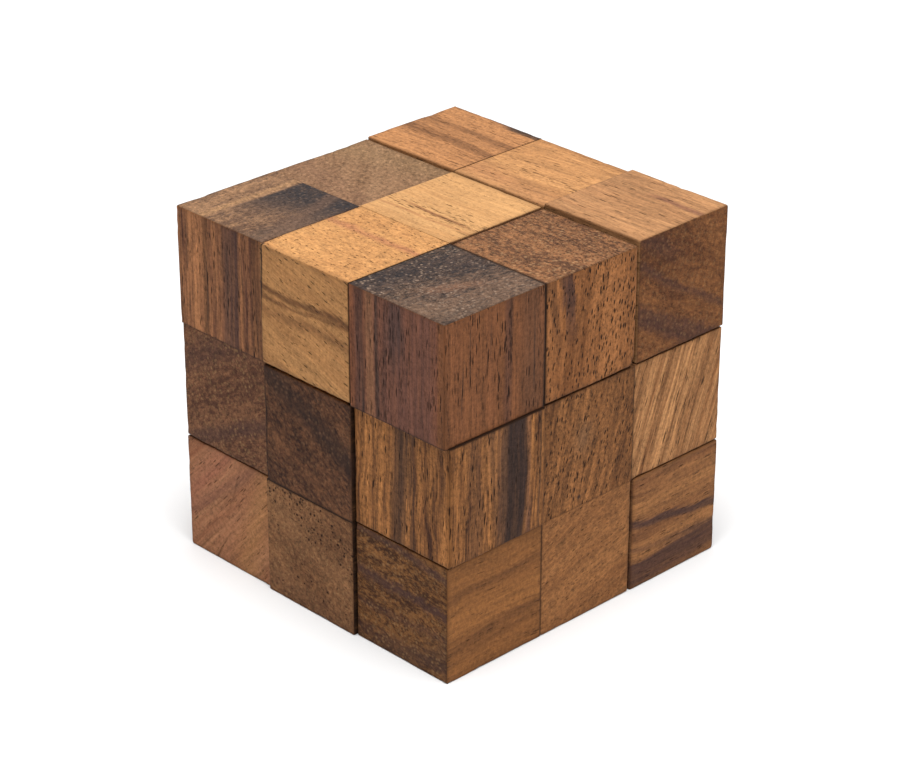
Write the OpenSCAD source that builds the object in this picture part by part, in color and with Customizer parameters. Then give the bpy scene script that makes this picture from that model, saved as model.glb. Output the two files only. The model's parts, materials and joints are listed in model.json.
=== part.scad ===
/* [Cubelets] */
// Pitch of the cubelets, which is a third of the cube's side
pitch = 25; // [18:0.5:40]
// Radius of the sanded edges
edge_r = 0.3; // [0.2:0.05:1.2]
// How far the uneven faces in the tables below are followed: 0 makes a perfect cube
unevenness = 1; // [0:0.1:1.5]

/* [Fit] */
// Running gap between two pieces that lie face to face
gap = 0.24; // [0.1:0.02:0.6]

/* [Hidden] */
cells_per_side = 3;
last_cell = cells_per_side - 1;
axis_count = 3;

// Wood tones, from the palest heartwood to the darkest end grain
PALE = [0.85, 0.62, 0.36];
TAN = [0.76, 0.55, 0.33];
GOLDEN = [0.66, 0.45, 0.24];
ORANGE = [0.72, 0.44, 0.26];
OLIVE = [0.50, 0.36, 0.22];
BROWN = [0.46, 0.29, 0.18];
PURPLE_BROWN = [0.42, 0.27, 0.22];
DARK = [0.33, 0.22, 0.15];

// Columns of the table below
NAME = 0;      // name of the cubelet, which begins with the puzzle piece that it is glued into
PIECE = 1;     // the puzzle piece
CELL = 2;      // place in the cube, counted from 0 along x, y and z
STAND_OUT = 3; // how far its outside faces stand out along x, y and z
TONE = 4;      // colour of its wood

CUBELETS = [
    // The three-cube piece holds the middle of the cube, and the other six close round it
    ["v_piece_corner_cube", "v_piece", [1, 1, 1], [0, 0, 0], BROWN],
    ["v_piece_side_cube", "v_piece", [0, 1, 1], [0.1, 0, 0], GOLDEN],
    ["v_piece_lower_cube", "v_piece", [1, 1, 0], [0, 0, 0], ORANGE],
    // L: three in a row along the top of the back, and a foot
    ["l_piece_foot_cube", "l_piece", [0, 2, 1], [0.2, 0.1, 0], GOLDEN],
    ["l_piece_corner_cube", "l_piece", [0, 2, 2], [0.4, 0.2, 0.4], ORANGE],
    ["l_piece_middle_cube", "l_piece", [1, 2, 2], [0, 0.1, 0.3], TAN],
    ["l_piece_end_cube", "l_piece", [2, 2, 2], [0.1, 0.5, 0.8], TAN],
    // T: three in a row along the foot of the back, and a stem on the middle one
    ["t_piece_left_cube", "t_piece", [0, 2, 0], [0.1, 0.3, 0], OLIVE],
    ["t_piece_centre_cube", "t_piece", [1, 2, 0], [0, 0.2, 0], GOLDEN],
    ["t_piece_right_cube", "t_piece", [2, 2, 0], [0.2, 0.2, 0], BROWN],
    ["t_piece_stem_cube", "t_piece", [1, 2, 1], [0, 0.3, 0], ORANGE],
    // Z: two pairs, stepped
    ["z_piece_low_end_cube", "z_piece", [2, 0, 0], [0.1, 0, 0], GOLDEN],
    ["z_piece_low_middle_cube", "z_piece", [2, 1, 0], [0.1, 0, 0], GOLDEN],
    ["z_piece_high_middle_cube", "z_piece", [2, 1, 1], [0.1, 0, 0], BROWN],
    ["z_piece_high_end_cube", "z_piece", [2, 2, 1], [0.1, 0.2, 0], TAN],
    // Tripod: a corner cubelet with one arm along each axis
    ["tripod_centre_cube", "tripod", [2, 0, 2], [0.3, 0.8, 0.1], PURPLE_BROWN],
    ["tripod_left_cube", "tripod", [1, 0, 2], [0, 0.9, 0.2], PALE],
    ["tripod_right_cube", "tripod", [2, 1, 2], [0.3, 0, 0], BROWN],
    ["tripod_lower_cube", "tripod", [2, 0, 1], [0.8, 0, 0], GOLDEN],
    // Left-handed screw: four in a line that turns three ways
    ["left_screw_foot_cube", "left_screw", [0, 0, 1], [0.1, 0, 0], DARK],
    ["left_screw_corner_cube", "left_screw", [0, 0, 2], [0.4, 0.1, 0], BROWN],
    ["left_screw_middle_cube", "left_screw", [0, 1, 2], [0.2, 0, 0], OLIVE],
    ["left_screw_tip_cube", "left_screw", [1, 1, 2], [0, 0, 0.2], PALE],
    // Right-handed screw: its mirror image
    ["right_screw_tail_cube", "right_screw", [0, 1, 0], [0.2, 0, 0], BROWN],
    ["right_screw_corner_cube", "right_screw", [0, 0, 0], [0.2, 0, 0], ORANGE],
    ["right_screw_middle_cube", "right_screw", [1, 0, 0], [0, 0.7, 0], OLIVE],
    ["right_screw_tip_cube", "right_screw", [1, 0, 1], [0, 0.7, 0], DARK],
];

// Joints that stand open, or that close tighter than the rest: a cubelet, which way its face looks, and
// how far that face is set back from the joint, on top of half the gap. Below zero, the gap is smaller.
UNEVEN_JOINTS = [
    ["tripod_left_cube", [0, 0, -1], 0.35],
    ["tripod_right_cube", [0, 0, -1], 0.15],
    ["l_piece_corner_cube", [0, -1, 0], 0.2],
    ["l_piece_middle_cube", [0, -1, 0], 0.2],
    ["l_piece_end_cube", [0, -1, 0], 0.3],
    ["t_piece_right_cube", [0, -1, 0], 0.25],
    ["tripod_left_cube", [0, 1, 0], -0.08],
    ["left_screw_tip_cube", [0, -1, 0], -0.08],
];

// The puzzle piece that fills a cell, or undef outside the cube
function piece_at(cell) = [for (c = CUBELETS) if (c[CELL] == cell) c[PIECE]][0];

// A cell's neighbour, one step along an axis
function neighbour(cell, axis, step) = [for (a = [0 : axis_count - 1]) cell[a] + (a == axis ? step : 0)];

function is_outside(c, axis, step) = c[CELL][axis] == (step < 0 ? 0 : last_cell);
function is_glued(c, axis, step) = piece_at(neighbour(c[CELL], axis, step)) == c[PIECE];

// How far a face is set back from an uneven joint, and 0 elsewhere
function set_back(c, axis, step) =
    let (found = [for (joint = UNEVEN_JOINTS) if (joint[0] == c[NAME] && joint[1][axis] == step) joint[2]])
        len(found) > 0 ? unevenness * found[0] : 0;

// How far a face lies beyond the cell's own side: out at the outside of the cube, half a gap or more in
// against another piece, and on the cell's side where it is glued. The underside of the cube is flat.
function face_shift(c, axis, step) =
    is_outside(c, axis, step) ? unevenness * c[STAND_OUT][axis]
    : is_glued(c, axis, step) ? 0
    : -gap / 2 - set_back(c, axis, step);

function face_at(c, axis, step) =
    pitch * (c[CELL][axis] + (step > 0 ? 1 : 0)) + step * face_shift(c, axis, step);

// An edge is sanded where neither of its two faces is glued
function edge_radius(c, axis_a, step_a, axis_b, step_b) =
    is_glued(c, axis_a, step_a) || is_glued(c, axis_b, step_b) ? 0 : edge_r;

// The most that any cubelet stands out on one side of the cube
function side_reach(axis, step) =
    unevenness * max([for (c = CUBELETS) if (is_outside(c, axis, step)) c[STAND_OUT][axis]]);

// Middle of the whole cube's outline along an axis
function middle(axis) = (pitch * cells_per_side + side_reach(axis, 1) - side_reach(axis, -1)) / 2;

// What a rounded corner takes off a rectangle, with the corner at the origin and the rectangle
// on the side that step_a and step_b point away from
module corner_waste(step_a, step_b, r) {
    mirror([step_a > 0 ? 0 : 1, 0])
        mirror([0, step_b > 0 ? 0 : 1])
            difference() {
                translate([-r, -r]) square(2 * r);
                translate([-r, -r]) circle(r, $fn = 48);
                translate([-2 * r, -2 * r]) square([r, 4 * r]);
                translate([-2 * r, -2 * r]) square([4 * r, r]);
            }
}

// A cubelet's outline across one axis, drawn with axis_a to the right and axis_b up
module outline(c, axis_a, axis_b) {
    low = [face_at(c, axis_a, -1), face_at(c, axis_b, -1)];
    high = [face_at(c, axis_a, 1), face_at(c, axis_b, 1)];
    difference() {
        translate(low) square(high - low);
        for (step_a = [-1, 1])
            for (step_b = [-1, 1]) {
                r = edge_radius(c, axis_a, step_a, axis_b, step_b);
                corner = [step_a < 0 ? low[0] : high[0], step_b < 0 ? low[1] : high[1]];
                if (r > 0) translate(corner) corner_waste(step_a, step_b, r);
            }
    }
}

// One cubelet: three outlines, each pushed through the cube along its own axis, and what they share
module cubelet(c) {
    length = pitch * (cells_per_side + 2);
    color(c[TONE])
        translate([-middle(0), -middle(1), 0])
            intersection() {
                translate([0, 0, -pitch]) linear_extrude(length) outline(c, 0, 1);
                translate([-pitch, 0, 0])
                    rotate([90, 0, 90]) linear_extrude(length) outline(c, 1, 2);
                translate([0, -pitch, 0])
                    mirror([0, 1, 0]) rotate([90, 0, 0]) linear_extrude(length) outline(c, 0, 2);
            }
}

for (c = CUBELETS)
    cubelet(c);
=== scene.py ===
"""Looks for the wooden cube puzzle: every cubelet gets its own worn block and its own cut of wood."""
import json

import bpy
import numpy as np
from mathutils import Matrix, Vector


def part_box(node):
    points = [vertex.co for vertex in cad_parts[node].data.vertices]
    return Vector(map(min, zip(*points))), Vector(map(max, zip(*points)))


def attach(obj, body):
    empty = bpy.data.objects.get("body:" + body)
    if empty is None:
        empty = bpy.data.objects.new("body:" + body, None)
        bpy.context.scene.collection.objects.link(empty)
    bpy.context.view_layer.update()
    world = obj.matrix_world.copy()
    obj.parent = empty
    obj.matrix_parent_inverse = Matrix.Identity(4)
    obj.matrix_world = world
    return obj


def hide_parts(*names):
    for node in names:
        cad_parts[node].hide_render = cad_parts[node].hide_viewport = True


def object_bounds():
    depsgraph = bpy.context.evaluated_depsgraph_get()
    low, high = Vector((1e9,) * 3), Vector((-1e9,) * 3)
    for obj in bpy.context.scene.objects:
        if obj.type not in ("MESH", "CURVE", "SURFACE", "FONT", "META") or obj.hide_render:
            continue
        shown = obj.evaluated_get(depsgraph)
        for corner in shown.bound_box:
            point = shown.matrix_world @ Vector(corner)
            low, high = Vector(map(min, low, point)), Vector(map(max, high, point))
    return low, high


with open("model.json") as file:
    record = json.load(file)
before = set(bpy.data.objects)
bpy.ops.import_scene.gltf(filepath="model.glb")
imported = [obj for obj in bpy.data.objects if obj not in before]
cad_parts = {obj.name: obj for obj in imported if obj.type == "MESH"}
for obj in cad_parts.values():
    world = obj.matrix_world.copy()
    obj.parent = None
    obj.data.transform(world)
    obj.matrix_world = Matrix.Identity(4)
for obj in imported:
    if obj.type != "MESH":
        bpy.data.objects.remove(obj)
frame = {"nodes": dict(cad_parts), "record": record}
cad_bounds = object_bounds()

MM = 0.001  # one millimetre, in the scene's metres
SIDES = [(axis, sign) for axis in range(3) for sign in (-1, 1)]
AXIS_PAIRS = [(0, 1), (1, 2), (2, 0)]


# ---------------------------------------------------------------- where the cubelets are

TOUCHING = 0.01  # faces nearer to each other than this are in contact, mm
LEAST_OVERLAP = 1.0  # and they are glued when they overlap by more than this both ways, mm


def node_boxes():
    """Each CAD cubelet's lowest and highest corner at rest, in millimetres."""
    boxes = {}
    for node in frame["nodes"]:
        low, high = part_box(node)
        boxes[node] = (np.array(low) / MM, np.array(high) / MM)
    return boxes


def glued_sides(node, boxes, mates):
    """The sides where this cubelet is glued face to face to another one of its own puzzle piece."""
    low, high = boxes[node]
    glued = {}
    for mate in mates:
        if mate == node:
            continue
        mate_low, mate_high = boxes[mate]
        shared = np.minimum(high, mate_high) - np.maximum(low, mate_low)
        for axis, sign in SIDES:
            distance = mate_low[axis] - high[axis] if sign > 0 else low[axis] - mate_high[axis]
            others = [a for a in range(3) if a != axis]
            if abs(distance) < TOUCHING and all(shared[a] > LEAST_OVERLAP for a in others):
                glued[(axis, sign)] = mate
    return glued


# ---------------------------------------------------------------- the blocks' shape

EDGE_RADIUS = 0.27  # sanded edge, mm
EDGE_UNEVENNESS = 0.3  # share of its radius by which an edge wanders
KNOCKS = 3  # on each free edge
SEAM_RADIUS = 0.03  # radius of the edges at a shut glued joint, mm
SEAM_OPENING = 0.18  # what an open look adds to it, mm
EDGE_LOOPS = (0, 0.07, 0.15, 0.26, 0.42, 0.7, 1.1, 1.8)  # distances of the mesh's loops from an edge, mm
INNER_STEP = 1.3  # mesh step away from the edges, mm
FACE_WAVE = 0.035  # how far a sanded face is from flat, mm
WEAR_WIDTH = 0.35  # how far the grime of a free edge reaches, mm
SEAM_WIDTH = 0.12  # half width of a glued joint's dark line, mm
SEAM_SPREAD = 0.22  # what an open look adds to it, mm
SEAM_DARKNESS = 1.3  # how dark an open look makes the line
LEDGE_DARKNESS = 2  # and how dark it makes the glued face, where a ledge shows it


def grid_lines(low, high):
    """Where the mesh's loops cross one axis: close together at both ends, even between them."""
    near = [low + d for d in EDGE_LOOPS]
    far = [high - d for d in reversed(EDGE_LOOPS)]
    count = int(round((far[0] - near[-1]) / INNER_STEP))
    inner = np.linspace(near[-1], far[0], count + 1)[1:-1]
    return np.array(near + list(inner) + far)


def box_skin(low, high):
    """Vertices and quads of a box's skin, on the loops of grid_lines()."""
    lines = [grid_lines(low[a], high[a]) for a in range(3)]
    size = [len(line) for line in lines]
    index, vertices, quads = {}, [], []

    def vertex(cell):
        if cell not in index:
            index[cell] = len(vertices)
            vertices.append([lines[a][cell[a]] for a in range(3)])
        return index[cell]

    for axis, sign in SIDES:
        a, b = [(axis + 1) % 3, (axis + 2) % 3]
        for i in range(size[a] - 1):
            for j in range(size[b] - 1):
                quad = []
                for di, dj in ((0, 0), (1, 0), (1, 1), (0, 1)):
                    cell = [0, 0, 0]
                    cell[axis] = size[axis] - 1 if sign > 0 else 0
                    cell[a], cell[b] = i + di, j + dj
                    quad.append(vertex(tuple(cell)))
                quads.append(quad if sign > 0 else quad[::-1])
    return np.array(vertices), quads


def wobble(along, rng):
    """A smooth wandering value about 0, as a hand-held sander leaves it, for places along an edge in mm."""
    total = np.zeros_like(along)
    for wavelength, share in ((21.0, 0.5), (9.0, 0.3), (3.7, 0.2)):
        total += share * np.sin(2 * np.pi * (along / wavelength + rng.random()))
    return total


def edge_radii(along, base, rng, knocks):
    """The edge's radius at each place along it: it wanders, and it grows at a few knocks."""
    radius = base * (1 + EDGE_UNEVENNESS * wobble(along, rng))
    low, high = along.min(), along.max()
    for _ in range(knocks):
        place = rng.uniform(low, high)
        length = rng.uniform(0.4, 1.4)
        depth = rng.uniform(0.3, 1.2) * base
        radius += depth * np.exp(-(((along - place) / length) ** 2))
    return radius


def round_edge(points, plane_a, plane_b, radius):
    """Rounds one edge: plane_a and plane_b are (axis, sign, place) of the two faces that meet there."""
    axis_a, sign_a, at_a = plane_a
    axis_b, sign_b, at_b = plane_b
    u = sign_a * (points[:, axis_a] - at_a) + radius
    v = sign_b * (points[:, axis_b] - at_b) + radius
    near = (u > 0) & (v > 0)
    shrink = np.ones(len(points))
    shrink[near] = np.maximum(u, v)[near] / np.hypot(u, v)[near]
    points[near, axis_a] = (at_a + sign_a * (u * shrink - radius))[near]
    points[near, axis_b] = (at_b + sign_b * (v * shrink - radius))[near]


def block_edges():
    """The twelve edges of a block, each as its two sides and the axis that it runs along."""
    for axis_a, axis_b in AXIS_PAIRS:
        for sign_a in (-1, 1):
            for sign_b in (-1, 1):
                yield (axis_a, sign_a), (axis_b, sign_b), 3 - axis_a - axis_b


def worn_block(low, high, seams, worn, rng):
    """A cubelet's skin with sanded edges, a groove at its glued joints and slightly wavy faces.
    seams maps each glued side to how open its joint looks, from 0 up, and worn maps two sides to how
    much rounder the edge between them is than the rest, in mm."""
    points, quads = box_skin(low, high)
    flat = points.copy()
    place = {(axis, sign): (high if sign > 0 else low)[axis] for axis, sign in SIDES}
    for side_a, side_b, run in block_edges():
        open_looks = [seams[side] for side in (side_a, side_b) if side in seams]
        if open_looks:
            seam_radius = SEAM_RADIUS + SEAM_OPENING * max(open_looks)
            radius = edge_radii(flat[:, run], seam_radius, rng, 0)
        else:
            radius = edge_radii(flat[:, run], EDGE_RADIUS, rng, KNOCKS)
            radius = radius + worn.get((side_a, side_b), 0)
        round_edge(points, (*side_a, place[side_a]), (*side_b, place[side_b]), radius)
    for axis in range(3):
        a, b = (axis + 1) % 3, (axis + 2) % 3
        wave = wobble(flat[:, a] * 0.9 + flat[:, b] * 0.3, rng) + wobble(flat[:, b], rng)
        points[:, axis] += FACE_WAVE * 0.5 * wave
    for axis, sign in seams:
        on_face = flat[:, axis] == place[(axis, sign)]
        points[on_face, axis] = place[(axis, sign)]
    points[:, 2] = np.maximum(points[:, 2], 0)
    return points, quads, *edge_marks(flat, place, seams, worn)


def edge_marks(flat, place, seams, worn):
    """For each vertex, how near it is to a free edge, and how dark the glued joints make it: along their
    lines, and where a ledge shows part of the glued face itself."""
    free, glue = np.zeros(len(flat)), np.zeros(len(flat))
    for (axis, sign), open_look in seams.items():
        glue[flat[:, axis] == place[(axis, sign)]] = min(1, LEDGE_DARKNESS * open_look)
    for side_a, side_b, _ in block_edges():
        away_a = np.abs(flat[:, side_a[0]] - place[side_a])
        away_b = np.abs(flat[:, side_b[0]] - place[side_b])
        away = np.maximum(away_a, away_b)
        open_looks = [seams[side] for side in (side_a, side_b) if side in seams]
        if open_looks:
            open_look = max(open_looks)
            reach = SEAM_WIDTH + SEAM_SPREAD * open_look
            dark = min(1, SEAM_DARKNESS * open_look)
            glue = np.maximum(glue, dark * np.exp(-((away / reach) ** 2)))
        else:
            crisp = np.clip(1 + worn.get((side_a, side_b), 0) / EDGE_RADIUS, 0, 1)
            free = np.maximum(free, crisp * np.exp(-away / WEAR_WIDTH))
    return free, glue


def block_object(name, points, quads, marks):
    mesh = bpy.data.meshes.new(name)
    mesh.from_pydata((points * MM).tolist(), [], quads)
    mesh.polygons.foreach_set("use_smooth", [True] * len(quads))
    for mark, values in marks.items():
        attribute = mesh.attributes.new(mark, "FLOAT", "POINT")
        attribute.data.foreach_set("value", values.astype(np.float32))
    mesh.update()
    block = bpy.data.objects.new(name, mesh)
    bpy.context.scene.collection.objects.link(block)
    return block


# ---------------------------------------------------------------- shader building blocks

NOISE_SPREAD = 2.4  # stretches Blender's noise, which keeps close to its middle


def feed(tree, socket, value):
    """Links a socket to another one, or sets its own value."""
    if isinstance(value, bpy.types.NodeSocket):
        tree.links.new(value, socket)
    elif socket.type == "RGBA" and len(value) == 3:
        socket.default_value = (*value, 1)
    else:
        socket.default_value = value


def shader_node(tree, kind, inputs, **settings):
    node = tree.nodes.new(kind)
    for key, value in settings.items():
        setattr(node, key, value)
    for key, value in inputs.items():
        feed(tree, node.inputs[key], value)
    return node


def maths(tree, operation, *values, clamp=False):
    inputs = dict(enumerate(values))
    return shader_node(tree, "ShaderNodeMath", inputs, operation=operation, use_clamp=clamp).outputs[0]


def vectors(tree, operation, *values):
    inputs = dict(enumerate(values))
    return shader_node(tree, "ShaderNodeVectorMath", inputs, operation=operation).outputs["Vector"]


def dot(tree, vector, direction):
    inputs = {0: vector, 1: tuple(direction)}
    return shader_node(tree, "ShaderNodeVectorMath", inputs, operation="DOT_PRODUCT").outputs["Value"]


def brighten(tree, colour, factor):
    inputs = {0: colour, "Scale": factor}
    return shader_node(tree, "ShaderNodeVectorMath", inputs, operation="SCALE").outputs["Vector"]


def noise(tree, vector, scale, detail=2.0, roughness=0.5):
    """Smooth noise about 0, mostly within 0.5 of it. scale is features per mm along each axis."""
    inputs = {"Vector": vectors(tree, "MULTIPLY", vector, tuple(scale)), "Scale": 1.0,
              "Detail": detail, "Roughness": roughness}
    value = shader_node(tree, "ShaderNodeTexNoise", inputs).outputs["Fac"]
    return maths(tree, "MULTIPLY_ADD", value, NOISE_SPREAD, -NOISE_SPREAD / 2)


def step(tree, value, low, high, to_low=0.0, to_high=1.0):
    """A smooth step from to_low to to_high as value goes from low to high."""
    inputs = {"Value": value, "From Min": low, "From Max": high, "To Min": to_low, "To Max": to_high}
    return shader_node(tree, "ShaderNodeMapRange", inputs, interpolation_type="SMOOTHSTEP").outputs[0]


def mix(tree, factor, a, b, blend="MIX"):
    node = shader_node(tree, "ShaderNodeMix", {}, data_type="RGBA", blend_type=blend)
    for socket, value in ((0, factor), (6, a), (7, b)):
        feed(tree, node.inputs[socket], value)
    return node.outputs[2]


# ---------------------------------------------------------------- wood

PORE_COLOUR = (0.018, 0.008, 0.004)
GRIME = (0.040, 0.018, 0.009)
SATIN = 0.56  # roughness of the sanded and oiled wood
SHEEN = 0.08  # its specular level
RELIEF = 0.12  # how high the grain stands, mm
FINE_PORES = 0.5  # share of the fine cells that hold a pore
FINE_PORE_WEIGHT = 0.6  # how dark the fine pores are

# Features per mm across the growth bands, along them, and along the fibre
STRIPE_SCALE = (0.8, 0.45, 0.028)
LINE_SCALE = (1.2, 1.2, 0.055)
PORE_ROW_SCALE = (1.5, 1.5, 0.02)
SPECK_PATCH_SCALE = (0.13, 0.13, 0.02)
MOTTLE_SCALE = (1.4, 0.6, 0.05)
FLECK_SCALE = (1.2, 1.2, 1.2)

# What a cubelet's own number is multiplied by, to start its warp and its grain at a place of their own
WARP_SEED = (31.7, 17.3, 53.1)
GRAIN_SEED = (7.9, 23.3, 41.9)


def unit(vector):
    return np.array(vector, float) / np.linalg.norm(vector)


def wood_axes(look):
    """Unit vectors across the growth bands, along them, and along the fibre."""
    fibre = unit(look["fibre"])
    across = np.array(look["across"], float)
    across = unit(across - fibre * across.dot(fibre))
    return across, np.cross(fibre, across), fibre


def wood_space(tree, centre, look, seed):
    """Gently warped places in mm from the cubelet's centre, the same along the wood's own axes with an
    offset of its own for each cubelet, and how squarely the surface cuts the fibre."""
    coordinates = tree.nodes.new("ShaderNodeTexCoord")
    place = brighten(tree, coordinates.outputs["Object"], 1 / MM)
    local = vectors(tree, "SUBTRACT", place, tuple(centre))
    shifted = vectors(tree, "ADD", local, tuple(seed * part for part in WARP_SEED))
    slow = shader_node(tree, "ShaderNodeTexNoise", {"Vector": shifted, "Scale": 0.06, "Detail": 1.0})
    push = vectors(tree, "SUBTRACT", slow.outputs["Color"], (0.5, 0.5, 0.5))
    warped = vectors(tree, "ADD", local, brighten(tree, push, look["waviness"]))
    grain = shader_node(tree, "ShaderNodeCombineXYZ",
                        {i: dot(tree, warped, axis) for i, axis in enumerate(wood_axes(look))})
    seeded = vectors(tree, "ADD", grain.outputs[0], tuple(seed * part for part in GRAIN_SEED))
    facing = dot(tree, coordinates.outputs["Normal"], wood_axes(look)[2])
    end_grain = step(tree, maths(tree, "ABSOLUTE", facing), 0.6, 0.9)
    return warped, seeded, end_grain


def cells(tree, grain, spacing, length):
    """Cells drawn out along the fibre: the distance from each one's centre, and a chance value for each."""
    vector = vectors(tree, "MULTIPLY", grain, (1 / spacing, 1 / spacing, 1 / length))
    node = shader_node(tree, "ShaderNodeTexVoronoi", {"Vector": vector, "Scale": 1.0, "Randomness": 1.0})
    chance = shader_node(tree, "ShaderNodeSeparateColor", {"Color": node.outputs["Color"]}).outputs[0]
    return node.outputs["Distance"], chance


def pores(tree, grain, rows, spacing, length, share, low=0.18, high=0.40):
    """1 inside a pore. share is the part of the cells whose pore is open, more of them where rows is high,
    and low and high are the sizes of the pores."""
    distance, chance = cells(tree, grain, spacing, length)
    chance = maths(tree, "ADD", rows, chance)
    is_open = maths(tree, "GREATER_THAN", chance, 1 - share)
    size = step(tree, chance, 1 - share, 1.2, low, high)
    inside = step(tree, distance, size, maths(tree, "MULTIPLY", size, 0.5))
    return maths(tree, "MULTIPLY", is_open, inside)


def slab(tree, place, shape, ragged):
    """1 inside a flat slab: n its normal, at its distance from the centre, half its half width, in mm."""
    off = maths(tree, "SUBTRACT", dot(tree, place, unit(shape["n"])), shape["at"])
    wander = maths(tree, "MULTIPLY", ragged, shape["ragged"])
    off = maths(tree, "ABSOLUTE", maths(tree, "ADD", off, wander))
    half, soft = shape["half"], shape["soft"]
    return step(tree, off, half + soft, half - soft)


def add_streaks(tree, look, colour, place, ragged, end_grain):
    """Lays the look's streaks over the colour, in order, thinner where the stripes are pale."""
    for mark in look["streaks"]:
        mask = slab(tree, place, mark, ragged)
        for other in mark["within"]:
            mask = maths(tree, "MULTIPLY", mask, slab(tree, place, other, ragged))
        if mark["only"] == "end":
            mask = maths(tree, "MULTIPLY", mask, end_grain)
        elif mark["only"] == "side":
            mask = maths(tree, "MULTIPLY", mask, maths(tree, "SUBTRACT", 1.0, end_grain))
        uneven = maths(tree, "MULTIPLY_ADD", ragged, -0.5 * mark["strength"], mark["strength"])
        colour = mix(tree, maths(tree, "MULTIPLY", mask, uneven, clamp=True), colour, mark["colour"])
    return colour


def side_grain(tree, look, grain, stripes):
    """Colour where the surface runs with the fibre: broad growth bands with stripes in them."""
    bands = noise(tree, grain, (look["bands"], look["bands"] * 0.25, 0.008), 1.5)
    level = maths(tree, "MULTIPLY_ADD", bands, look["band_depth"], 0.5)
    level = maths(tree, "MULTIPLY_ADD", stripes, look["stripes"], level, clamp=True)
    return mix(tree, level, look["dark"], look["light"])


def cut_grain(tree, look, grain):
    """Colour where the surface cuts the fibre: mottled bands."""
    bands = noise(tree, grain, (look["bands"] * 1.1, look["bands"] * 0.35, 0.01), 2.0)
    cloud = noise(tree, grain, MOTTLE_SCALE, 5.0, 0.8)
    level = maths(tree, "MULTIPLY_ADD", bands, look["band_depth"], 0.5)
    level = maths(tree, "MULTIPLY_ADD", cloud, look["mottle"], level, clamp=True)
    return mix(tree, level, look["end_dark"], look["end_light"])


def add_specks(tree, look, colour, grain, end_grain):
    """The pale ring of soft wood round each pore, which shows where the surface cuts the fibre."""
    distance, chance = cells(tree, grain, look["speck_spacing"], 12.0)
    ring = maths(tree, "MULTIPLY", step(tree, distance, 0.52, 0.12), step(tree, chance, 0.1, 0.6))
    patch = step(tree, noise(tree, grain, SPECK_PATCH_SCALE), -0.5, 0.4, 0.35, look["specks"])
    ring = maths(tree, "MULTIPLY", maths(tree, "MULTIPLY", ring, patch), end_grain)
    return mix(tree, ring, colour, look["speck"])


def all_pores(tree, look, grain, place, ragged, end_grain):
    """1 inside a pore: long ones and a finer set, in rows and in the look's porous parts."""
    spacing, length = look["pore_spacing"], look["pore_length"]
    rows = noise(tree, grain, PORE_ROW_SCALE, 1.5, 0.6)
    for part in look["porous"]:
        rows = maths(tree, "MULTIPLY_ADD", slab(tree, place, part, ragged), 0.7, rows)
    coarse = pores(tree, grain, rows, spacing, length, look["pore_share"])
    fine = pores(tree, grain, rows, spacing * 0.55, length * 0.5, FINE_PORES)
    both = maths(tree, "MAXIMUM", coarse, maths(tree, "MULTIPLY", fine, FINE_PORE_WEIGHT))
    return maths(tree, "MULTIPLY", both, step(tree, end_grain, 0.0, 1.0, 1.0, 0.6))


def add_wear(tree, colour, fleck):
    """Grime on the free edges, and the dark line along glued joints."""
    edge = shader_node(tree, "ShaderNodeAttribute", {}, attribute_name="edge_nearness").outputs["Fac"]
    glue = shader_node(tree, "ShaderNodeAttribute", {}, attribute_name="glue_line").outputs["Fac"]
    rim = maths(tree, "MULTIPLY", edge, step(tree, fleck, -0.5, 0.5, 0.2, 0.95))
    return mix(tree, glue, mix(tree, rim, colour, GRIME), PORE_COLOUR)


def wood_colour(tree, look, place, grain, end_grain, stripes, lines, fleck, pore):
    colour = mix(tree, end_grain, side_grain(tree, look, grain, stripes), cut_grain(tree, look, grain))
    colour = add_streaks(tree, look, colour, place, stripes, end_grain)
    colour = add_specks(tree, look, colour, grain, end_grain)
    shade = maths(tree, "MULTIPLY_ADD", lines, look["lines"], 1.0)
    shade = maths(tree, "MULTIPLY_ADD", fleck, look["flecks"], shade)
    colour = brighten(tree, colour, maths(tree, "MAXIMUM", shade, 0.3))
    colour = mix(tree, maths(tree, "MULTIPLY", pore, look["pore_dark"]), colour, PORE_COLOUR)
    return add_wear(tree, colour, fleck)


def wood_material(name, centre, look, seed):
    """A cubelet's own wood. centre is its middle in mm, and seed its number, which shifts the pattern."""
    material = bpy.data.materials.new(name)
    material.use_nodes = True
    tree = material.node_tree
    tree.nodes.clear()
    place, grain, end_grain = wood_space(tree, centre, look, seed)
    stripes = noise(tree, grain, STRIPE_SCALE, 4.0, 0.75)
    lines = noise(tree, grain, LINE_SCALE, 4.0, 0.8)
    fleck = noise(tree, place, FLECK_SCALE, 4.0, 0.8)
    pore = all_pores(tree, look, grain, place, stripes, end_grain)
    colour = wood_colour(tree, look, place, grain, end_grain, stripes, lines, fleck, pore)

    rough = maths(tree, "MULTIPLY_ADD", lines, 0.08, SATIN)
    rough = maths(tree, "MULTIPLY_ADD", pore, 0.2, rough)
    rough = maths(tree, "MULTIPLY_ADD", end_grain, 0.08, rough)
    height = maths(tree, "SUBTRACT", maths(tree, "MULTIPLY", lines, 0.25), pore)
    height = maths(tree, "MULTIPLY_ADD", fleck, 0.2, height)
    bump = shader_node(tree, "ShaderNodeBump", {"Height": height, "Strength": 0.7, "Distance": RELIEF * MM})
    skin = shader_node(tree, "ShaderNodeBsdfPrincipled", {
        "Base Color": colour, "Roughness": rough, "Normal": bump.outputs["Normal"]})
    skin.inputs["Specular IOR Level"].default_value = SHEEN
    output = tree.nodes.new("ShaderNodeOutputMaterial")
    tree.links.new(skin.outputs["BSDF"], output.inputs["Surface"])
    return material


# ---------------------------------------------------------------- each cubelet's cut of wood

X, Y, Z = (1, 0, 0), (0, 1, 0), (0, 0, 1)
PURPLE, BLACKISH, SEPIA = (0.062, 0.029, 0.023), (0.030, 0.020, 0.016), (0.085, 0.034, 0.014)


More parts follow.
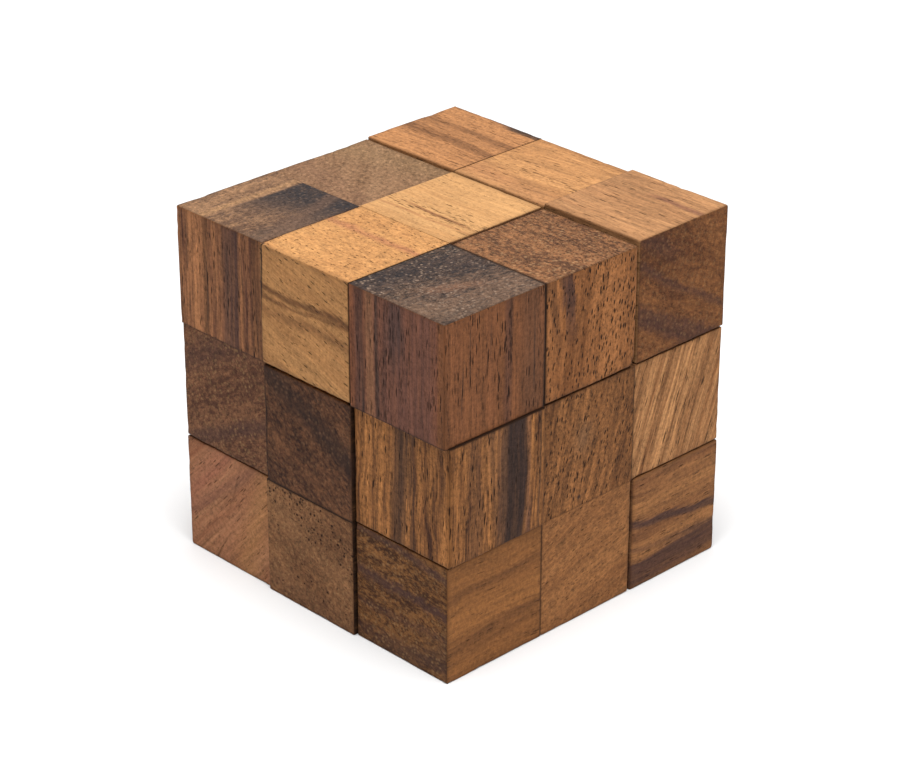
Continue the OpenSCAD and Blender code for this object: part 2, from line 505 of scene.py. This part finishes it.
def streak(n, at, half, colour, strength=0.8, soft=0.5, ragged=0.7, only=None, within=()):
    """A flat layer of another colour: n its normal, at its distance from the cubelet's centre, half its
    half width, and soft and ragged how its edges fade and wander, in mm. only keeps it on the end grain or
    the side grain, and within keeps it inside other slabs."""
    return {"n": n, "at": at, "half": half, "colour": colour, "strength": strength, "soft": soft,
            "ragged": ragged, "only": only, "within": within}


def part_of(n, at, half, soft=4, ragged=0.7):
    """A slab of the cubelet that limits a streak, or where pores crowd."""
    return {"n": n, "at": at, "half": half, "soft": soft, "ragged": ragged}


def pore_lines(n, *lines):
    """Thin broken lines of pores, up an upright face: each one's place, its middle height and half length."""
    return [streak(n, at, 0.13, BLACKISH, 0.7, soft=0.15, ragged=0.4, only="side",
                   within=[part_of(Z, height, half, 3, 3)]) for at, height, half in lines]


def joint_gap_shadow(at, face):
    """A painted shadow: a thin dark line on one face, along an edge that stands before an open joint, where
    the joint's gap casts its shade.
    """
    return streak(X, at, 0.25, (0.020, 0.010, 0.007), 0.85, soft=0.15, ragged=0.05,
                  within=[part_of(Y, face, 1.0, 0.3, 0)])


# Painted shade: darkens the front end of the +X side, the strip that a step shows at the open joint to the
# next piece, where shade falls.
PAINTED_GAP_SHADE = streak(X, 13.4, 2.0, (0.016, 0.008, 0.005), 0.95, only="side",
                  within=[part_of(Y, -13, 2.5, 1.5, 0.4)])

# The usual wood, and the names of everything that a look may change. fibre is the way the fibre runs,
# across crosses the growth bands, and the end colours are for faces that cut the fibre.
PLAIN = {
    "fibre": X, "across": Y, "light": (0.31, 0.140, 0.052), "dark": (0.17, 0.068, 0.026),
    "end_light": (0.20, 0.090, 0.038), "end_dark": (0.095, 0.040, 0.018),
    "bands": 0.16, "band_depth": 0.8, "stripes": 0.75, "lines": 0.8, "mottle": 2.0, "flecks": 0.75,
    "waviness": 2.5, "pore_spacing": 0.5, "pore_length": 3.2, "pore_share": 0.5, "pore_dark": 0.95,
    "specks": 0.6, "speck": (0.23, 0.125, 0.055), "speck_spacing": 0.85, "streaks": (), "porous": (),
}


def look(**changes):
    return {**PLAIN, **changes}


LOOKS = {
    "left_screw_corner_cube": look(
        fibre=Z, across=X, light=(0.350, 0.147, 0.059), dark=(0.082, 0.030, 0.017), bands=0.3,
        stripes=1.2, lines=0.9, pore_length=3.5, pore_share=0.7, waviness=1.5,
        end_light=(0.245, 0.133, 0.069), end_dark=(0.090, 0.048, 0.029), specks=0.35,
        speck=(0.16, 0.100, 0.066),
        streaks=[
            streak(X, 3.2, 2.3, PURPLE, 0.75, soft=0.8, ragged=1.2, only="side"),
            streak(X, -4.2, 0.5, SEPIA, 0.8, soft=0.5, ragged=1.2, only="side"),
            streak(X, 6.3, 0.25, (0.34, 0.14, 0.055), 0.6, soft=0.3, only="side"),
            streak(X, 10.8, 1.4, SEPIA, 0.6, only="side"),
            *pore_lines(X, (-9.9, 5, 5), (-4.1, -3, 7), (2.2, 0, 8), (6.6, 5, 4)),
            streak(X, -9.0, 1.2, (0.26, 0.140, 0.070), 0.4, soft=1.5, only="end"),
            streak(X, -5.7, 0.8, (0.30, 0.165, 0.078), 0.6, soft=0.6, ragged=0.5, only="end"),
            streak(X, 10.5, 2.6, (0.050, 0.036, 0.031), 0.6, soft=1.8, ragged=1.5, only="end"),
            streak(X, 4.0, 8.5, (0.080, 0.048, 0.034), 0.5, soft=0.3, ragged=0.3, only="end",
                   within=[part_of((-0.2, 1, 0), 8, 14, 8, 3)]),
            streak(X, 4.2, 8.3, (0.023, 0.020, 0.021), 0.9, soft=0.3, ragged=0.3, only="end",
                   within=[part_of((-0.4, 1, 0), 10, 10, 6, 3)]),
            streak((1, 0.3, 0), 8.5, 1.6, (0.11, 0.062, 0.040), 0.5, soft=1.2, only="end")]),
    "left_screw_middle_cube": look(
        fibre=Z, across=(1, 1, 0), end_light=(0.214, 0.117, 0.061), end_dark=(0.127, 0.066, 0.033),
        specks=0.5, speck=(0.29, 0.17, 0.09), mottle=1.5,
        streaks=[streak((0.2, 1, 0), -9, 4, (0.180, 0.092, 0.055), 0.35, soft=4, ragged=3),
                 streak((-0.2, 1, 0), 9, 4, (0.200, 0.124, 0.058), 0.3, soft=4, ragged=3),
                 streak((1, 1, 0), 2.5, 1.0, (0.30, 0.175, 0.095), 0.2, soft=1.2, ragged=1)]),
    "left_screw_tip_cube": look(
        fibre=X, across=Y, light=(0.46, 0.250, 0.101), dark=(0.36, 0.178, 0.067), pore_spacing=0.45,
        pore_dark=0.75, pore_share=0.05, porous=[part_of(Y, -4.6, 2.0, 1, 1)],
        stripes=0.6, lines=0.45, flecks=0.4, band_depth=0.6,
        streaks=[streak((0.05, 1, 0), -4.8, 0.45, (0.17, 0.065, 0.026), 0.8, soft=0.3, ragged=0.3,
                        within=[part_of(X, 2, 9, 5)]),
                 streak(Y, -7.4, 0.3, (0.24, 0.10, 0.04), 0.6, soft=0.3, ragged=0.4)]),
    "left_screw_foot_cube": look(
        fibre=Y, across=(-0.55, 0, 1), end_light=(0.195, 0.086, 0.041), end_dark=(0.081, 0.032, 0.017),
        mottle=2.2, specks=0.75,
        streaks=[streak((-0.5, 0, 1), -6.5, 1.6, PURPLE, 0.7, soft=1.2),
                 streak((-0.5, 0, 1), 9.5, 2.5, PURPLE, 0.5, soft=2.0, ragged=2)]),
    "tripod_left_cube": look(
        fibre=(0.95, 0, -0.3), across=Z, light=(0.455, 0.228, 0.083), dark=(0.35, 0.162, 0.057),
        pore_spacing=0.5, pore_length=2.2, pore_share=0.6, pore_dark=0.75, lines=0.65, flecks=0.65,
        band_depth=0.6,
        streaks=[streak((0.02, 0, 1), 3.4, 0.7, (0.13, 0.054, 0.020), 0.9, soft=0.5, ragged=1.0),
                 streak((-0.03, 0, 1), 1.9, 0.4, (0.15, 0.062, 0.023), 0.75, soft=0.4, ragged=1.0),
                 streak((0.02, 0, 1), -0.8, 0.9, (0.21, 0.092, 0.034), 0.65, soft=0.7, ragged=1.4),
                 streak(Y, 4.6, 0.8, (0.26, 0.095, 0.050), 0.6, soft=0.9, ragged=0.8),
                 streak(Y, -14, 2, (0.22, 0.105, 0.040), 0.08),
                 joint_gap_shadow(-12.25, -12.9)]),
    "tripod_centre_cube": look(
        fibre=Z, across=X, light=(0.230, 0.083, 0.036), dark=(0.070, 0.024, 0.015), stripes=1.0,
        lines=0.9, pore_spacing=0.42, pore_length=4.0, pore_share=0.55, pore_dark=1.0, waviness=1.0,
        speck_spacing=0.75, specks=1.0, mottle=1.7, bands=0.11,
        end_light=(0.119, 0.070, 0.045), end_dark=(0.017, 0.015, 0.015), speck=(0.20, 0.138, 0.098),
        porous=[part_of(X, -4, 2.2, 2), part_of(Y, 3.6, 0.5, 0.6), part_of(Y, -6.6, 0.3, 0.4, 0.5),
                part_of(Y, 0.8, 0.2, 0.4, 0.5), part_of(Y, 11.4, 0.4, 0.6)],
        streaks=[
            streak(X, 1, 9.5, (0.160, 0.070, 0.048), 0.5, soft=1.5, only="side"),
            streak(X, 12.6, 1.6, (0.190, 0.072, 0.027), 0.8, soft=0.4, only="side"),
            streak(Y, 3.2, 0.9, PURPLE, 0.6, soft=0.8, only="side"),
            streak(Y, 9.5, 2.6, (0.105, 0.046, 0.024), 0.6, soft=1.5, only="side"),
            streak(X, -7.2, 1.1, (0.24, 0.110, 0.048), 0.5, soft=0.7, ragged=0.9, only="side"),
            streak(X, -5.4, 0.4, BLACKISH, 0.7, soft=0.3, ragged=0.6, only="side"),
            streak(X, -10.2, 1.1, PURPLE, 0.7, soft=0.5, ragged=0.6, only="side"),
            streak(X, -9.3, 0.2, BLACKISH, 0.6, soft=0.3, ragged=0.6, only="side"),
            *pore_lines(Y, (-8.4, -3, 4), (-6.5, 4, 6), (-1.3, 6, 3), (10.1, -1, 7)),
            streak((1, -0.3, 0), -7, 4.5, (0.016, 0.015, 0.018), 0.55, soft=3, ragged=4, only="end"),
            streak((1, -1, 0), 12, 3.5, (0.140, 0.084, 0.052), 0.3, soft=3, ragged=4, only="end"),
            streak(X, -0.5, 2.2, (0.062, 0.036, 0.032), 0.6, soft=1.5, ragged=2, only="side",
                   within=[part_of(Z, 7, 6, 5, 2)]),
            streak((1, -0.4, 0), 2.0, 1.2, (0.21, 0.100, 0.055), 0.45, soft=1.5, ragged=1.5, only="end",
                   within=[part_of(Y, 0, 5, 4)])]),
    "tripod_right_cube": look(
        fibre=(0.2, 0.12, 1), across=Y, light=(0.333, 0.132, 0.044), dark=(0.138, 0.049, 0.015),
        pore_spacing=0.6, pore_length=2.5, pore_share=1.2, pore_dark=1.0, waviness=1.5, mottle=2.4,
        porous=[part_of(Y, 6, 6, 5)],
        end_light=(0.211, 0.093, 0.039), end_dark=(0.069, 0.031, 0.016), specks=0.75,
        speck=(0.28, 0.158, 0.076),
        streaks=[streak((0, 1, 0.1), -5.6, 1.5, PURPLE, 0.75, ragged=2.0, only="side",
                        within=[part_of(Z, 9, 8, 6)]),
                 streak((0, 1, 0.1), -9.5, 1.0, SEPIA, 0.55, ragged=1.5, only="side",
                        within=[part_of(Z, 9, 10, 5)])]),
    "tripod_lower_cube": look(
        fibre=(0, 0.03, 1), across=(1, -1, 0), light=(0.358, 0.146, 0.044), dark=(0.056, 0.020, 0.009),
        bands=0.25, band_depth=0.5, stripes=1.4, lines=0.95, pore_share=0.85, pore_dark=1.0,
        waviness=2.2, pore_spacing=0.55, pore_length=3.4, flecks=0.95,
        streaks=[streak((0.79, -0.61, 0), 7.8, 1.9, (0.080, 0.038, 0.020), 0.65, soft=0.8, ragged=2.2),
                 streak((0, 1, 0.1), 1.0, 2.6, (0.100, 0.048, 0.027), 0.5, soft=1.2, ragged=1.8, only="side"),
                 streak((0, 1, -0.04), 4.8, 2.5, (0.034, 0.018, 0.014), 0.9, soft=0.5, ragged=1.4,
                        only="side"),
                 streak(Y, 8.3, 0.5, (0.150, 0.072, 0.048), 0.5, soft=0.6, ragged=1.2, only="side"),
                 streak(Y, 11.3, 0.25, BLACKISH, 0.7, soft=0.3, ragged=0.3, only="side"),
                 streak(Y, -5.6, 2.2, (0.11, 0.048, 0.023), 0.5, soft=1.5, ragged=1.6, only="side")]),
    "right_screw_corner_cube": look(
        fibre=(0.69, 0, 0.72), across=(0.72, 0, -0.69), light=(0.362, 0.164, 0.077),
        dark=(0.194, 0.070, 0.032), pore_share=0.25, pore_length=3.5, pore_spacing=0.48, pore_dark=0.6,
        bands=0.22, waviness=2, stripes=0.65, lines=0.6,
        streaks=[streak((0.72, 0, -0.69), 1.2, 0.16, SEPIA, 0.9, soft=0.25, ragged=0.5,
                        within=[part_of(X, -7, 4, 4)]),
                 streak((0.84, 0, -0.54), 2.6, 0.16, SEPIA, 0.9, soft=0.25, ragged=0.5,
                        within=[part_of(X, -5, 4, 4)]),
                 streak((0.94, 0, -0.34), -0.4, 0.16, SEPIA, 0.6, soft=0.3, ragged=0.4,
                        within=[part_of(Z, 6, 4, 4)]),
                 streak((0.6, 0, -0.75), -4.6, 1.2, (0.15, 0.060, 0.036), 0.6, soft=0.9),
                 streak((1, 0, -0.35), 8, 3, (0.37, 0.175, 0.060), 0.5, soft=3.5, ragged=2),
                 streak((0.75, 0, -0.66), -9, 2.5, (0.32, 0.118, 0.070), 0.4, soft=2.5, ragged=1.5)]),
    "right_screw_middle_cube": look(
        fibre=Y, across=(0.35, 0, 1), end_light=(0.242, 0.113, 0.048), end_dark=(0.108, 0.046, 0.020),
        specks=0.6, mottle=1.6, bands=0.1, pore_share=0.1, pore_spacing=1.0, pore_dark=1.6,
        porous=[part_of((0.37, 0, 0.93), 5.4, 1.5, 1.0, 1.5), part_of((0.37, 0, 0.93), 9, 1.5, 1.5, 1.5)],
        streaks=[PAINTED_GAP_SHADE,
                 streak((0.5, 0, 1), 2.5, 2.5, (0.240, 0.118, 0.052), 0.35, soft=3, ragged=2, only="end"),
                 streak((0.2, 0, 1), -11, 2.5, (0.100, 0.046, 0.026), 0.4, soft=4, ragged=2, only="end")]),
    "right_screw_tip_cube": look(
        fibre=Y, across=(0.6, 0, 1), end_light=(0.144, 0.060, 0.027), end_dark=(0.032, 0.013, 0.008),
        specks=0.35, speck=(0.18, 0.094, 0.048), mottle=1.8, flecks=0.9,
        streaks=[PAINTED_GAP_SHADE,
                 streak((0.5, 0, 1), 5.0, 2.6, (0.030, 0.015, 0.011), 0.8, soft=2),
                 joint_gap_shadow(-12.2, -12.8)]),
    "right_screw_tail_cube": look(fibre=Y, across=Z),
    "z_piece_low_end_cube": look(
        fibre=Y, across=(0.1, 0, 1), light=(0.290, 0.118, 0.035), dark=(0.176, 0.069, 0.022), bands=0.2,
        stripes=0.55, lines=0.5, pore_share=0.3, pore_dark=0.6, pore_spacing=0.45, specks=0.65,
        end_light=(0.214, 0.091, 0.029), end_dark=(0.048, 0.018, 0.007), speck_spacing=0.85, mottle=2.2,
        streaks=[streak((0.1, 0, 1), 11.2, 0.9, PURPLE, 0.7, only="end"),
                 streak((0.05, 0, 1), 2.6, 1.1, PURPLE, 0.8, soft=0.8, ragged=2.0, only="end"),
                 streak(Z, -9.8, 1.6, PURPLE, 0.5, soft=1.5, ragged=2.0, only="end"),
                 streak((-0.05, 0, 1), -3.4, 0.8, PURPLE, 0.45, soft=0.9, ragged=1.5, only="end"),
                 streak((-0.5, 0, 1), -11, 2.5, (0.060, 0.033, 0.024), 0.5, soft=4, ragged=2, only="end"),
                 streak((0, -0.05, 1), 5.6, 0.7, SEPIA, 0.55, soft=0.8, ragged=1.5, only="side"),
                 streak((0, -0.1, 1), -4.6, 1.3, SEPIA, 0.55, soft=1.2, ragged=1.8, only="side"),
                 streak((0, -0.1, 1), -7.2, 0.5, SEPIA, 0.4, soft=0.8, ragged=1.8, only="side")]),
    "z_piece_low_middle_cube": look(
        fibre=(0.3, 1, 0.3), across=Z, light=(0.320, 0.137, 0.047), dark=(0.200, 0.080, 0.027),
        pore_share=0.6, pore_length=2.0, pore_spacing=0.5, pore_dark=0.6, stripes=0.6, flecks=0.85),
    "z_piece_high_middle_cube": look(
        fibre=(0.12, 0.25, 1), across=Y, light=(0.296, 0.122, 0.040), dark=(0.074, 0.027, 0.009),
        pore_spacing=0.6, pore_length=2.3, pore_share=1.25, pore_dark=1.0, bands=0.1, stripes=1.1,
        flecks=1.25,
        streaks=[streak(Y, -1.6, 2.0, (0.15, 0.080, 0.040), 0.6, soft=2.5,
                        within=[part_of(Z, 2, 3, 3)]),
                 streak(Y, -2.2, 0.5, BLACKISH, soft=0.4, ragged=0,
                        within=[part_of(Z, -10.3, 0.45, 0.4, 0)])]),
    "z_piece_high_end_cube": look(
        fibre=(0, 0.34, 0.94), across=Y, light=(0.462, 0.222, 0.087), dark=(0.196, 0.079, 0.028),
        bands=0.3, band_depth=0.5, stripes=1.35, lines=1.0, pore_length=5.0, pore_share=0.6,
        waviness=1.0),
    "l_piece_foot_cube": look(fibre=Z, across=Y),
    "l_piece_corner_cube": look(
        fibre=X, across=Y, light=(0.385, 0.174, 0.067), dark=(0.195, 0.085, 0.034), bands=0.2,
        stripes=0.8, lines=0.65, pore_dark=0.65, pore_spacing=0.45, pore_length=4,
        streaks=[streak(Y, -1.6, 1.3, SEPIA, 0.55, ragged=1.2),
                 streak(Y, 4.5, 0.7, SEPIA, 0.4, ragged=1.2),
                 streak(Y, 13.2, 1.3, PURPLE, 0.7, within=[part_of(Z, 13, 2.5, 3, 2.5)]),
                 streak(Y, 12.7, 1.7, BLACKISH, 0.9,
                        within=[part_of(X, 10, 6, 2), part_of(Z, 13, 2.5, 3, 2.5)])]),
    "l_piece_middle_cube": look(
        fibre=(1, 0.08, 0.03), across=Y, light=(0.420, 0.206, 0.079), dark=(0.282, 0.128, 0.048),
        stripes=0.9, lines=0.7, flecks=0.5, pore_share=0.3, pore_dark=0.65, pore_spacing=0.5,
        porous=[part_of(Y, -3, 1.2, 1, 1)],
        streaks=[streak((0.1, 1, 0), -9.5, 3, (0.300, 0.135, 0.062), 0.35, soft=3, ragged=2)]),
    "l_piece_end_cube": look(
        fibre=X, across=(0, 0.45, 1), light=(0.38, 0.193, 0.083), dark=(0.25, 0.117, 0.050),
        lines=0.9, flecks=0.5, pore_share=0.4, pore_dark=0.7, pore_spacing=0.5, pore_length=4,
        end_light=(0.233, 0.093, 0.032), end_dark=(0.090, 0.032, 0.013), bands=0.2, specks=0.35,
        mottle=1.4,
        streaks=[streak((0.04, 1, 0), 5.6, 0.8, (0.14, 0.055, 0.034), 0.7, ragged=0.5, only="side",
                        within=[part_of(X, 6, 7, 3)]),
                 streak((0, 0.5, 1), -8.5, 2.2, PURPLE, 0.7, soft=1.2, ragged=1.2, only="end"),
                 streak((0, 0.6, 1), -0.5, 0.8, PURPLE, 0.6, soft=0.8, ragged=1.2, only="end"),
                 streak((0, 0.5, 1), 5.8, 1.7, PURPLE, 0.55, soft=1.5, ragged=1.8, only="end",
                        within=[part_of(Y, -9, 7, 5)])]),
    "t_piece_right_cube": look(
        fibre=Y, across=(0.1, 0, 1), light=(0.326, 0.142, 0.049), dark=(0.165, 0.066, 0.025), bands=0.2,
        pore_share=0.45, pore_dark=0.7, pore_spacing=0.5, stripes=0.8,
        streaks=[streak((0, 0.16, 1), 0.4, 0.9, PURPLE, 0.8, ragged=1.2),
                 streak((0, -0.05, 1), -8.6, 3.0, PURPLE, 0.75, soft=1.2, ragged=1.6),
                 streak((0, 0.1, 1), -4.6, 0.4, PURPLE, 0.5, soft=0.5, ragged=1.2)]),
    "t_piece_left_cube": look(fibre=X, across=Z),
    "t_piece_centre_cube": look(
        fibre=X, across=Z, light=(0.36, 0.160, 0.060), dark=(0.20, 0.082, 0.031), bands=0.2),
    "t_piece_stem_cube": look(
        fibre=Z, across=X, light=(0.38, 0.165, 0.070), dark=(0.20, 0.078, 0.032), bands=0.24),
    "v_piece_corner_cube": look(fibre=Z, across=X),
    "v_piece_side_cube": look(
        fibre=Y, across=X, light=(0.36, 0.160, 0.060), dark=(0.21, 0.086, 0.032)),
    "v_piece_lower_cube": look(fibre=X, across=Y),
}

# Edges that are rounder or crisper than the rest: change of radius in mm, by the two sides that meet there,
# each of them its axis and its direction
WORN_EDGES = {
    "tripod_right_cube": {((1, 1), (2, -1)): 2.2, ((0, 1), (1, 1)): 0.4},
    "tripod_left_cube": {((1, 1), (2, 1)): -0.2},
    "left_screw_tip_cube": {((1, -1), (2, 1)): -0.2},
    "l_piece_end_cube": {((0, 1), (1, -1)): 0.15},
    "t_piece_right_cube": {((1, 1), (2, -1)): 0.6, ((0, 1), (1, -1)): 0.3},
    "right_screw_corner_cube": {((2, -1), (0, -1)): 0.4},
    "tripod_lower_cube": {((0, 1), (1, -1)): 0.5},
}

# How open the glued joints look, from 0, hardly a line, to 1 and above, a black one
GLUE_LINES = {
    ("tripod_centre_cube", "tripod_right_cube"): 1.5,
    ("z_piece_low_end_cube", "z_piece_low_middle_cube"): 0.6,
    ("tripod_centre_cube", "tripod_lower_cube"): 0.6,
    ("tripod_centre_cube", "tripod_left_cube"): 0.45,
    ("z_piece_high_middle_cube", "z_piece_high_end_cube"): 0.4,
    ("right_screw_middle_cube", "right_screw_tip_cube"): 0.8,
    ("z_piece_low_middle_cube", "z_piece_high_middle_cube"): 0.25,
    ("left_screw_foot_cube", "left_screw_corner_cube"): 0.3,
    ("left_screw_corner_cube", "left_screw_middle_cube"): 0.1,
    ("left_screw_middle_cube", "left_screw_tip_cube"): 0.1,
    ("right_screw_corner_cube", "right_screw_middle_cube"): 0.15,
}
USUAL_GLUE_LINE = 0.25


def glue_line(node, mate):
    return GLUE_LINES.get((node, mate), GLUE_LINES.get((mate, node), USUAL_GLUE_LINE))


def build_blocks():
    boxes = node_boxes()
    for body, nodes in frame["record"]["behaviour"]["bodies"].items():
        for node in nodes:
            number = list(LOOKS).index(node) + 1
            low, high = boxes[node]
            seams = {side: glue_line(node, mate) for side, mate in glued_sides(node, boxes, nodes).items()}
            rng = np.random.default_rng(number)
            worn = WORN_EDGES.get(node, {})
            points, quads, free_edge, glued_edge = worn_block(low, high, seams, worn, rng)
            name = node.replace("_cube", "_block")
            block = block_object(name, points, quads, {"edge_nearness": free_edge, "glue_line": glued_edge})
            block.data.materials.append(wood_material(name + "_wood", (low + high) / 2, LOOKS[node], number))
            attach(block, body)
            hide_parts(node)


# ---------------------------------------------------------------- floor, light and camera

def plain_material(name, colour, roughness):
    material = bpy.data.materials.new(name)
    material.use_nodes = True
    skin = material.node_tree.nodes["Principled BSDF"]
    skin.inputs["Base Color"].default_value = (*colour, 1)
    skin.inputs["Roughness"].default_value = roughness
    return material


FLOOR_HALF = 4.0  # metres


def build_floor():
    half = FLOOR_HALF
    mesh = bpy.data.meshes.new("floor")
    corners = [(-half, -half, 0), (half, -half, 0), (half, half, 0), (-half, half, 0)]
    mesh.from_pydata(corners, [], [(0, 1, 2, 3)])
    floor = bpy.data.objects.new("floor", mesh)
    bpy.context.scene.collection.objects.link(floor)
    mesh.materials.append(plain_material("pale_floor", (0.70, 0.70, 0.70), 0.9))


def aim(thing, azimuth, elevation, distance, target=(0, 0, 0)):
    """Puts a camera or a light on that bearing, counted from +X towards +Y, looking at a target
    that is given from the middle of the cube."""
    low, high = [Vector(corner) for corner in cad_bounds]
    middle = (low + high) / 2 + Vector(target)
    a, e = np.radians(azimuth), np.radians(elevation)
    away = Vector((np.cos(e) * np.cos(a), np.cos(e) * np.sin(a), np.sin(e)))
    thing.location = middle + away * distance
    thing.rotation_euler = (-away).to_track_quat("-Z", "Y").to_euler()


def soft_light(name, azimuth, elevation, distance, size, watts):
    data = bpy.data.lights.new(name, "AREA")
    data.size = size
    data.energy = watts
    light = bpy.data.objects.new(name, data)
    bpy.context.scene.collection.objects.link(light)
    aim(light, azimuth, elevation, distance)


def build_lights():
    world = bpy.data.worlds.new("studio")
    bpy.context.scene.world = world
    world.use_nodes = True
    background = world.node_tree.nodes["Background"]
    background.inputs["Color"].default_value = (1, 1, 1, 1)
    background.inputs["Strength"].default_value = 0.27
    soft_light("overhead_softbox", azimuth=-40, elevation=80, distance=1.3, size=0.9, watts=31.5)
    soft_light("rear_softbox", azimuth=136, elevation=28, distance=1.6, size=1.0, watts=2.5)
    soft_light("right_fill", azimuth=0, elevation=20, distance=1.6, size=0.8, watts=1.5)
    bpy.context.scene.view_settings.view_transform = "Standard"


def build_camera():
    data = bpy.data.cameras.new("camera")
    data.lens = 116.5
    data.sensor_width = 36
    camera = bpy.data.objects.new("camera", data)
    bpy.context.scene.collection.objects.link(camera)
    aim(camera, azimuth=-44.0, elevation=26.5, distance=0.579, target=(0.0003, -0.0007, -0.0011))
    bpy.context.scene.camera = camera


build_blocks()
build_floor()
build_lights()
build_camera()
